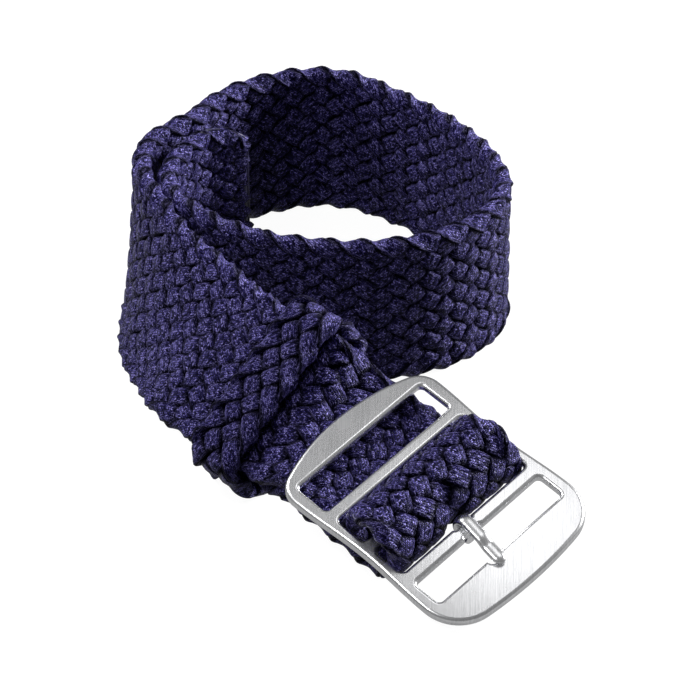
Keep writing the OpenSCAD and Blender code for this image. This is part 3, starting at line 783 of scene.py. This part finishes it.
def tonguePiece():
    r, drop, length = tongue["curlRadius"], tongue["drop"], tongue["length"]
    curl = [radians(a) for a in range(tongue["curlFrom"], 1, 6)]
    side = [(-r * sin(a), r * cos(a)) for a in curl]
    tip = tongue["tipLength"]
    straight = list(np.arange(0.2, length - tip, 0.15))
    for x in straight + [length - tip * (1 - sin(radians(a))) for a in range(0, 90, 9)]:
        share = min(1, max(0, (x - tongue["dipStart"]) / (tongue["dipEnd"] - tongue["dipStart"])))
        side.append((-x, r - drop * share * share * (3 - 2 * share)))
    side = np.array(side)
    pivot = -(buckle["barNear"] + buckle["tongueFar"]) / 2
    lean = np.where(np.arange(len(side)) > len(curl), side[:, 0], 0)
    skew = radians(buckle["tongueSkew"])
    local = np.stack([buckle["tongueAt"] + lean * sin(skew), pivot + side[:, 0], side[:, 1]], axis=1)
    t = unit(np.gradient(local, axis=0))
    normals = unit(np.cross([1.0, 0, 0], t))
    fromTip = length + side[:, 0]
    radii = np.sqrt(1 - np.clip(1 - fromTip / tip, 0, 1) ** 2)
    path = (onPlate(local), normals @ plateAxes, radii, radii)
    piece = sweep("tongue_strip", [path], tongue["profile"], steel)
    mesh = piece.data
    count = len(mesh.vertices)
    flat = np.empty(count * 3)
    mesh.vertices.foreach_get("co", flat)
    own = (flat.reshape(-1, 3) / mm - plateCentre) @ plateAxes.T
    setAttribute(mesh, "platePlace", own)
    setAttribute(mesh, "edgeShare", np.full(count, tongue["edgeShare"]))
    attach(piece, "tongue_body")
    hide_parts("tongue")


tonguePiece()

# ---- the keeper: a narrow flat plait joined into a band round the doubled strap ----

keeper = {
    "width": 8.2,
    "thick": 1.5,
    "innerHalf": 10.3,
    "innerRise": 2.95,
    "innerCorner": 1.5,
    "start": 0.2,  # past the strap's seat
    "seamGap": 0.1,  # from each end to the seam below
    "plait": {"cords": 5, "reach": 3.4, "pitch": 3.9, "rounding": 0.3, "rise": 0.4,
              "flatness": 2.0, "wander": 0.08, "step": 0.3, "seed": 4,
              "profile": {"width": 2.3, "height": 0.95, "sides": 12, "roundness": 0.7}},
}


def keeperPath():
    k = keeper
    corner = k["innerCorner"] + k["thick"] / 2
    x, z = k["innerHalf"] - k["innerCorner"], k["innerRise"] - k["innerCorner"]
    states = chain((0, -z - corner, 0),
                   [(0, x), (corner, -90), (0, 2 * z), (corner, -90), (0, 2 * x), (corner, -90), (0, 2 * z),
                    (corner, -90), (0, x)], 0.25)
    centre = seatPlace + (k["start"] + k["width"] / 2) * seatWay - layerStep / 2 * seatOut
    places = [centre + a * seatAcross + b * seatOut for a, b, h in states]
    normals = [sin(h) * seatAcross - cos(h) * seatOut for a, b, h in states]
    return np.array(places), np.array(normals)


def keeperPiece():
    places, normals = keeperPath()
    along = np.concatenate([[0], np.cumsum(np.linalg.norm(np.diff(places, axis=0), axis=1))])

    def onKeeper(s):
        p = np.stack([np.interp(s, along, places[:, i]) for i in range(3)], axis=1)
        n = unit(np.stack([np.interp(s, along, normals[:, i]) for i in range(3)], axis=1))
        return p, np.tile(seatWay, (len(s), 1)), n

    paths = plaitPaths(keeper["plait"], keeper["seamGap"], along[-1] - keeper["seamGap"], onKeeper)
    piece = sweep("keeper_plait", paths, keeper["plait"]["profile"], nylon)
    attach(piece, "keeper_body")
    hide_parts("keeper_band")


keeperPiece()

# ---- sealed ends: a melted core between the cords, and a thin rim round them ----

seal = {
    "core": {"thick": 1.3, "edgeRadius": 0.55, "inset": 0.5, "endInset": 0.25, "steps": 16},
    "rim": {"width": 0.42, "height": 0.34, "sides": 10, "roundness": 0.9,
            "length": 8.5, "inset": 0.22, "endInset": 0.1, "steps": 30, "thinStart": 0.15, "thinSteps": 6},
}


def sealSide(shape, length):  # one side of a rounded end, from its foot to its tip
    fromEnd = length * (1 - np.sin(np.linspace(0, pi / 2, shape["steps"])))
    return [(endHalf(d) - shape["inset"], band["sealLength"] - d - shape["endInset"]) for d in fromEnd]


def bothSides(side):
    return side + [(-x, y) for x, y in side[::-1]]


def sealPiece(name, node, atStart):
    length, coreShape, rimShape = band["sealLength"], seal["core"], seal["rim"]
    s = np.array([0.0, length]) if atStart else np.array([bandLength, bandLength - length])
    p, w, n = onBand(s)
    way = unit(p[0] - p[1])
    axes = np.array([w[0], way, np.cross(w[0], way)])
    contour = bothSides(sealSide(coreShape, length))
    core = roundedPlate(name, [contour], coreShape["thick"] / 2, coreShape["edgeRadius"],
                        coreShape["edgeRadius"], lambda v: p[1] + v @ axes, lambda v: v @ axes, sealed)
    side = sealSide(rimShape, rimShape["length"])
    if atStart:
        side = [point for point in side if point[1] > 0]
    around = np.array([(x, y, 0) for x, y in bothSides(side)])
    onCurve = around @ axes + p[1]
    if not atStart:
        q, across, _ = onBand(bandLength - length + around[:, 1])
        onCurve = q + around[:, :1] * across
    order = np.arange(len(around))
    taper = np.minimum(1, np.minimum(order, order[::-1]) / rimShape["thinSteps"] + rimShape["thinStart"])
    path = (onCurve, np.tile(axes[2], (len(around), 1)), taper, taper)
    rim = sweep(name + "_rim", [path], rimShape, sealed)
    for piece in (core, rim):
        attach(piece, "strap_body")
        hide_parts(node)


sealPiece("free_end_melted_edge", "sealed_tip", False)
sealPiece("turned_end_melted_edge", "turned_end_seal", True)

# ---- CAD nodes that stay visible ----

for nodeName in ("fold_stitching", "keeper_stitching"):
    node = frame["nodes"][nodeName]
    node.data.materials.clear()
    node.data.materials.append(thread)

# ---- floor, light and camera ----

studio = {
    "floorSize": 3.0,
    "eye": (-242.11, -245.45, 215.20),
    "target": (-18.52, -13.99, 19.57),
    "lens": 167.70,
    "sensor": 36,
    "worldStrength": 0.03,
    "worldSeen": 1.05,  # by the camera
    "worldMirrored": 0.17,  # what the steel reflects
    "floorGrey": 0.12,
    "floorSeen": 0.96,
    "floorMirrored": 0.3,
    "lampsAimAt": (0, 0, 0.01),
    "lamps": [  # from azimuth, elevation, distance, size and power
        ("key from the left", 176, 52, 0.8, 0.25, 1.5),
        ("fill from the right", 342, 22, 0.9, 0.25, 15.0),
        ("back light", 110, 44, 0.9, 0.25, 6.0),
        ("panel overhead", 37, 76, 1.0, 0.9, 0.25),
        ("strip above the tip", 348, 77, 1.0, 0.35, 0.58),
    ],
}


# White paper: bright to the camera, dim to everything else, so the dark braid keeps its depth.
def floorPiece():
    half = studio["floorSize"] / 2
    mesh = bpy.data.meshes.new("floor")
    mesh.from_pydata([(-half, -half, 0), (half, -half, 0), (half, half, 0), (-half, half, 0)], [], [(0, 1, 2, 3)])
    material, tree = newMaterial("white paper sweep")
    grey = studio["floorGrey"]
    paper = addNode(tree, "ShaderNodeBsdfDiffuse", {"Color": (grey, grey, grey, 1)})
    path = addNode(tree, "ShaderNodeLightPath").outputs
    mirrored = maths(tree, "MULTIPLY", path["Is Glossy Ray"], studio["floorMirrored"])
    seen = maths(tree, "MULTIPLY", path["Is Camera Ray"], studio["floorSeen"])
    strength = maths(tree, "ADD", seen, mirrored)
    glow = addNode(tree, "ShaderNodeEmission", {"Color": (1, 1, 1, 1), "Strength": strength})
    both = addNode(tree, "ShaderNodeAddShader", {0: paper.outputs[0], 1: glow.outputs[0]})
    addNode(tree, "ShaderNodeOutputMaterial", {"Surface": both.outputs[0]})
    piece = addPiece("floor", mesh, material)


def lightWorld():
    world = bpy.data.worlds.new("studio")
    world.use_nodes = True
    tree = world.node_tree
    tree.nodes.clear()
    path = addNode(tree, "ShaderNodeLightPath").outputs
    strength = studio["worldStrength"]
    for ray, key in (("Is Camera Ray", "worldSeen"), ("Is Glossy Ray", "worldMirrored")):
        strength = maths(tree, "ADD", strength, maths(tree, "MULTIPLY", path[ray], studio[key]))
    glow = addNode(tree, "ShaderNodeBackground", {"Color": (1, 1, 1, 1), "Strength": strength})
    addNode(tree, "ShaderNodeOutputWorld", {"Surface": glow.outputs[0]})
    bpy.context.scene.world = world


def addLamp(name, azimuth, elevation, distance, size, power):
    lamp = bpy.data.lights.new(name, "AREA")
    lamp.size = size
    lamp.energy = power
    lampObject = bpy.data.objects.new(name, lamp)
    a, e = radians(azimuth), radians(elevation)
    middle = Vector(studio["lampsAimAt"])
    lampObject.location = middle + distance * Vector((cos(a) * cos(e), sin(a) * cos(e), sin(e)))
    lampObject.rotation_euler = (middle - lampObject.location).to_track_quat("-Z", "Y").to_euler()
    bpy.context.scene.collection.objects.link(lampObject)


def addCamera():
    eye, target = (Vector(studio[key]) * mm for key in ("eye", "target"))
    data = bpy.data.cameras.new("camera")
    data.lens = studio["lens"]
    data.sensor_width = studio["sensor"]
    data.clip_start = 0.01
    cameraObject = bpy.data.objects.new("camera", data)
    cameraObject.location = eye
    cameraObject.rotation_euler = (target - eye).to_track_quat("-Z", "Y").to_euler()
    bpy.context.scene.collection.objects.link(cameraObject)
    bpy.context.scene.camera = cameraObject


floorPiece()
lightWorld()
for lampSettings in studio["lamps"]:
    addLamp(*lampSettings)
addCamera()
bpy.context.scene.view_settings.view_transform = "Standard"
print("studio set")
